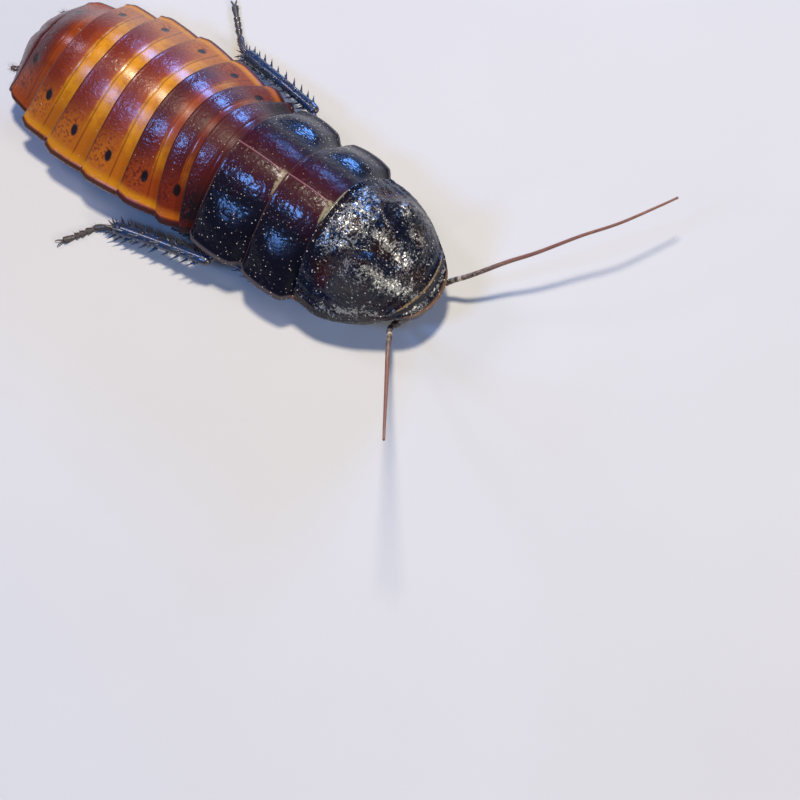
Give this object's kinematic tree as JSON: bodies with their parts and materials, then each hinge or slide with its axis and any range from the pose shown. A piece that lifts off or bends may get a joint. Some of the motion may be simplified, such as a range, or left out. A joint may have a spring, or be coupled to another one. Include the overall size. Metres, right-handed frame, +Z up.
{
  "type": "madagascar hissing cockroach",
  "caption": "Large wingless cockroach with a two-humped shield over its head, overlapping back plates, spiny legs and long feelers, standing.",
  "frame": {"origin": "on the floor under the middle of the whole animal's box, feelers and feet included", "axes": "+Z up; the head points to -Y and the tail to +Y; +X is the animal's left"},
  "size_m": [0.0544, 0.0824, 0.0312],
  "materials": {
    "shield": "near-black horn with coarse shining grains",
    "thorax": "dark mahogany horn, glossy and grained",
    "back": "amber to red-brown horn, glossy in front and grained behind",
    "tail": "dusky red-brown horn, grained",
    "belly": "amber-brown horn, smooth",
    "leg": "black-brown horn, glossy",
    "head": "black horn with a brown lower face, glossy",
    "eye": "dark red-brown, fine facets",
    "feeler": "red-brown, fine hairs",
    "soft": "pale cream skin between the plates"
  },
  "bodies": {
    "root": {"antenna_left": "feeler", "antenna_right": "feeler", "cercus_left": "leg", "cercus_right": "leg", "coxa_fore_left": "leg", "coxa_fore_right": "leg", "coxa_hind_left": "leg", "coxa_hind_right": "leg", "coxa_middle_left": "leg", "coxa_middle_right": "leg", "eye_left": "eye", "eye_right": "eye", "femur_fore_left": "leg", "femur_fore_right": "leg", "femur_hind_left": "leg", "femur_hind_right": "leg", "femur_middle_left": "leg", "femur_middle_right": "leg", "genital_plate": "belly", "head": "head", "mesonotum": "thorax", "mesosternum": "belly", "metanotum": "thorax", "metasternum": "belly", "mouthparts": "head", "neck": "soft", "palp_left": "feeler", "palp_right": "feeler", "pronotum": "shield", "prosternum": "belly", "sternite_2": "belly", "sternite_3": "belly", "sternite_4": "belly", "sternite_5": "belly", "sternite_6": "belly", "tail_plate": "tail", "tarsus_fore_left": "leg", "tarsus_fore_right": "leg", "tarsus_hind_left": "leg", "tarsus_hind_right": "leg", "tarsus_middle_left": "leg", "tarsus_middle_right": "leg", "tergite_1": "back", "tergite_2": "back", "tergite_3": "back", "tergite_4": "back", "tergite_5": "back", "tergite_6": "back", "tergite_7": "back", "tibia_fore_left": "leg", "tibia_fore_right": "leg", "tibia_hind_left": "leg", "tibia_hind_right": "leg", "tibia_middle_left": "leg", "tibia_middle_right": "leg"}
  },
  "joints": []
}
